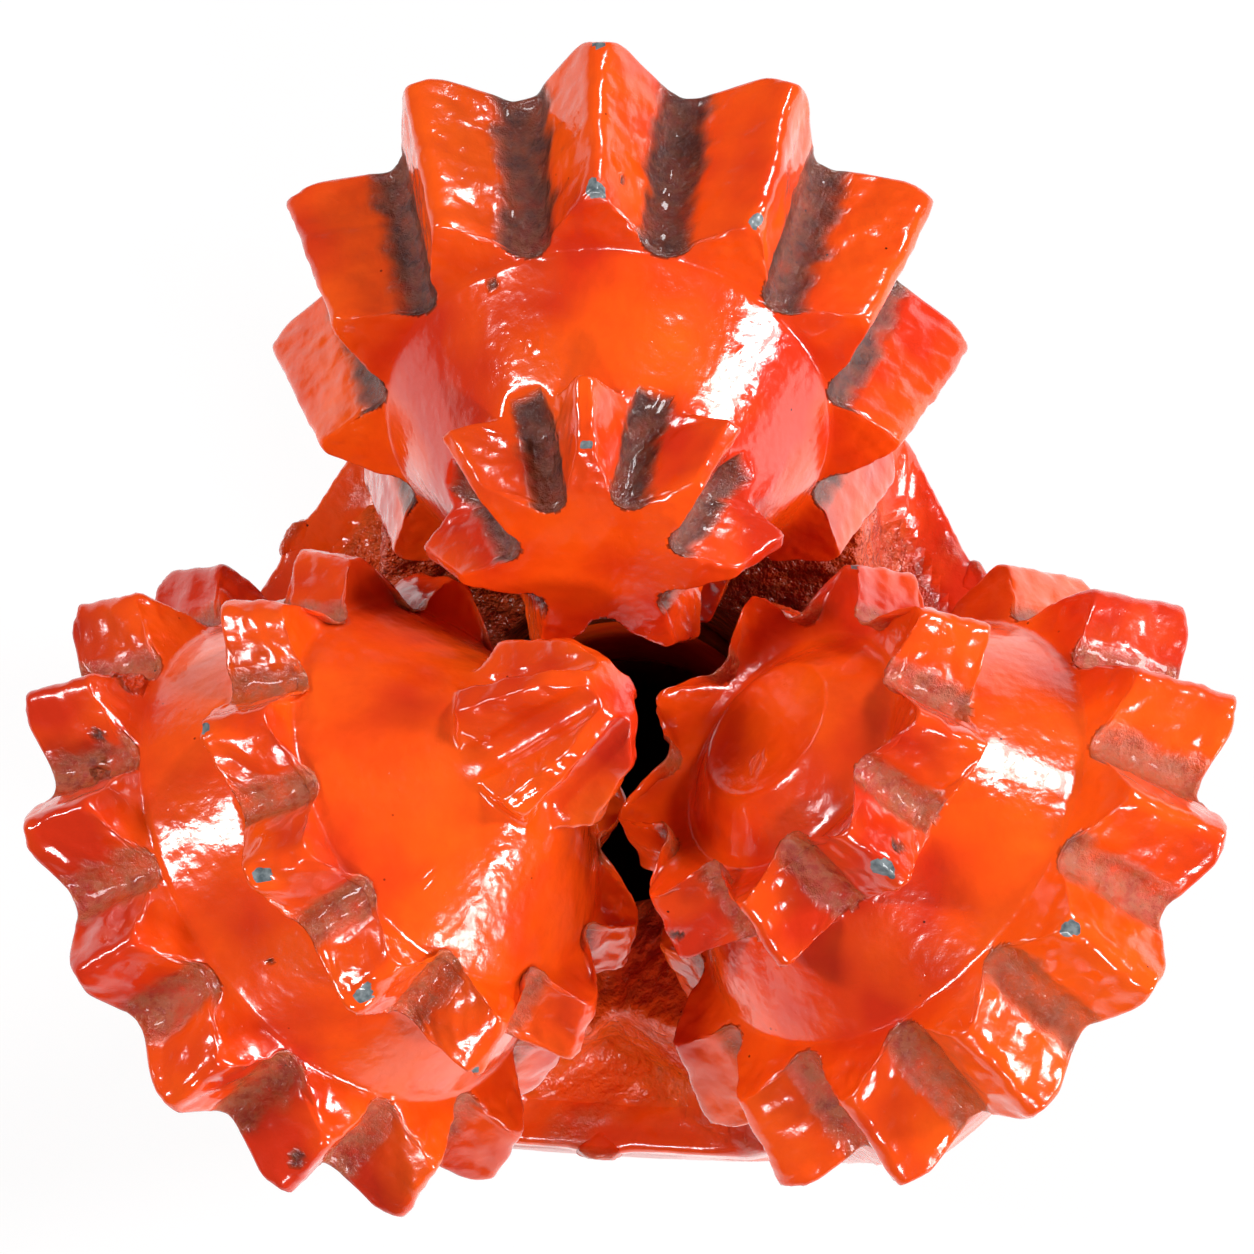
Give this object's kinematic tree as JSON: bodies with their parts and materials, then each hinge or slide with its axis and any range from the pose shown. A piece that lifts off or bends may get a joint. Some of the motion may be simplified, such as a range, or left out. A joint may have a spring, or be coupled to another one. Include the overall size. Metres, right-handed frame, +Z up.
{
  "type": "tricone drill bit",
  "caption": "Rotary rock bit with toothed rolling cones on angled journals, a welded body with an open waterway and a tapered screw-on pin, painted orange.",
  "frame": {"origin": "centre of the pin end face, where the waterway opens", "axes": "+Z up the bit axis from the pin to the cones; leg 1 stands toward +Y; the bit stands on its pin end"},
  "size_m": [0.2082, 0.2018, 0.2881],
  "materials": {
    "body_paint": "glossy orange paint over rough cast and ground steel",
    "cone_paint": "thick glossy orange paint over milled and hardfaced steel, worn at tooth corners",
    "weld_paint": "glossy orange paint over weld bead",
    "plug_steel": "turned steel",
    "roller_steel": "ground and greased",
    "ball_steel": "polished",
    "button_steel": "ground tool steel",
    "bushing_bronze": "bored bronze"
  },
  "bodies": {
    "bit_body": {"pin": "body_paint", "leg_1": "body_paint", "ball_plug_1": "plug_steel", "plug_weld_1": "weld_paint", "body_weld_1": "weld_paint", "leg_2": "body_paint", "ball_plug_2": "plug_steel", "plug_weld_2": "weld_paint", "body_weld_2": "weld_paint", "leg_3": "body_paint", "ball_plug_3": "plug_steel", "plug_weld_3": "weld_paint", "body_weld_3": "weld_paint"},
    "cone_1": {"cone_1": "cone_paint", "nose_bushing_1": "bushing_bronze", "thrust_button_1": "button_steel"},
    "roller_set_1": {"rollers_1": "roller_steel"},
    "ball_set_1": {"balls_1": "ball_steel"},
    "cone_2": {"cone_2": "cone_paint", "nose_bushing_2": "bushing_bronze", "thrust_button_2": "button_steel"},
    "roller_set_2": {"rollers_2": "roller_steel"},
    "ball_set_2": {"balls_2": "ball_steel"},
    "cone_3": {"cone_3": "cone_paint", "nose_bushing_3": "bushing_bronze", "thrust_button_3": "button_steel"},
    "roller_set_3": {"rollers_3": "roller_steel"},
    "ball_set_3": {"balls_3": "ball_steel"}
  },
  "joints": [
    {"name": "cone_1_spin", "type": "hinge", "parent": "bit_body", "child": "cone_1", "pos_m": [-0.005, 0.06128, 0.23158], "axis": [0, -0.766, 0.6428], "continuous": true},
    {"name": "roller_set_1_orbit", "type": "hinge", "parent": "bit_body", "child": "roller_set_1", "pos_m": [-0.005, 0.06128, 0.23158], "axis": [0, -0.766, 0.6428], "continuous": true},
    {"name": "ball_set_1_orbit", "type": "hinge", "parent": "bit_body", "child": "ball_set_1", "pos_m": [-0.005, 0.06128, 0.23158], "axis": [0, -0.766, 0.6428], "continuous": true},
    {"name": "cone_2_spin", "type": "hinge", "parent": "bit_body", "child": "cone_2", "pos_m": [-0.05057, -0.03497, 0.23158], "axis": [0.6634, 0.383, 0.6428], "continuous": true},
    {"name": "roller_set_2_orbit", "type": "hinge", "parent": "bit_body", "child": "roller_set_2", "pos_m": [-0.05057, -0.03497, 0.23158], "axis": [0.6634, 0.383, 0.6428], "continuous": true},
    {"name": "ball_set_2_orbit", "type": "hinge", "parent": "bit_body", "child": "ball_set_2", "pos_m": [-0.05057, -0.03497, 0.23158], "axis": [0.6634, 0.383, 0.6428], "continuous": true},
    {"name": "cone_3_spin", "type": "hinge", "parent": "bit_body", "child": "cone_3", "pos_m": [0.05557, -0.02631, 0.23158], "axis": [-0.6634, 0.383, 0.6428], "continuous": true},
    {"name": "roller_set_3_orbit", "type": "hinge", "parent": "bit_body", "child": "roller_set_3", "pos_m": [0.05557, -0.02631, 0.23158], "axis": [-0.6634, 0.383, 0.6428], "continuous": true},
    {"name": "ball_set_3_orbit", "type": "hinge", "parent": "bit_body", "child": "ball_set_3", "pos_m": [0.05557, -0.02631, 0.23158], "axis": [-0.6634, 0.383, 0.6428], "continuous": true}
  ],
  "couplings": [
    {"joint": "roller_set_1_orbit", "follows": "cone_1_spin", "ratio": 0.5906},
    {"joint": "ball_set_1_orbit", "follows": "cone_1_spin", "ratio": 0.6155},
    {"joint": "roller_set_2_orbit", "follows": "cone_2_spin", "ratio": 0.5906},
    {"joint": "ball_set_2_orbit", "follows": "cone_2_spin", "ratio": 0.6155},
    {"joint": "roller_set_3_orbit", "follows": "cone_3_spin", "ratio": 0.5906},
    {"joint": "ball_set_3_orbit", "follows": "cone_3_spin", "ratio": 0.6155}
  ]
}
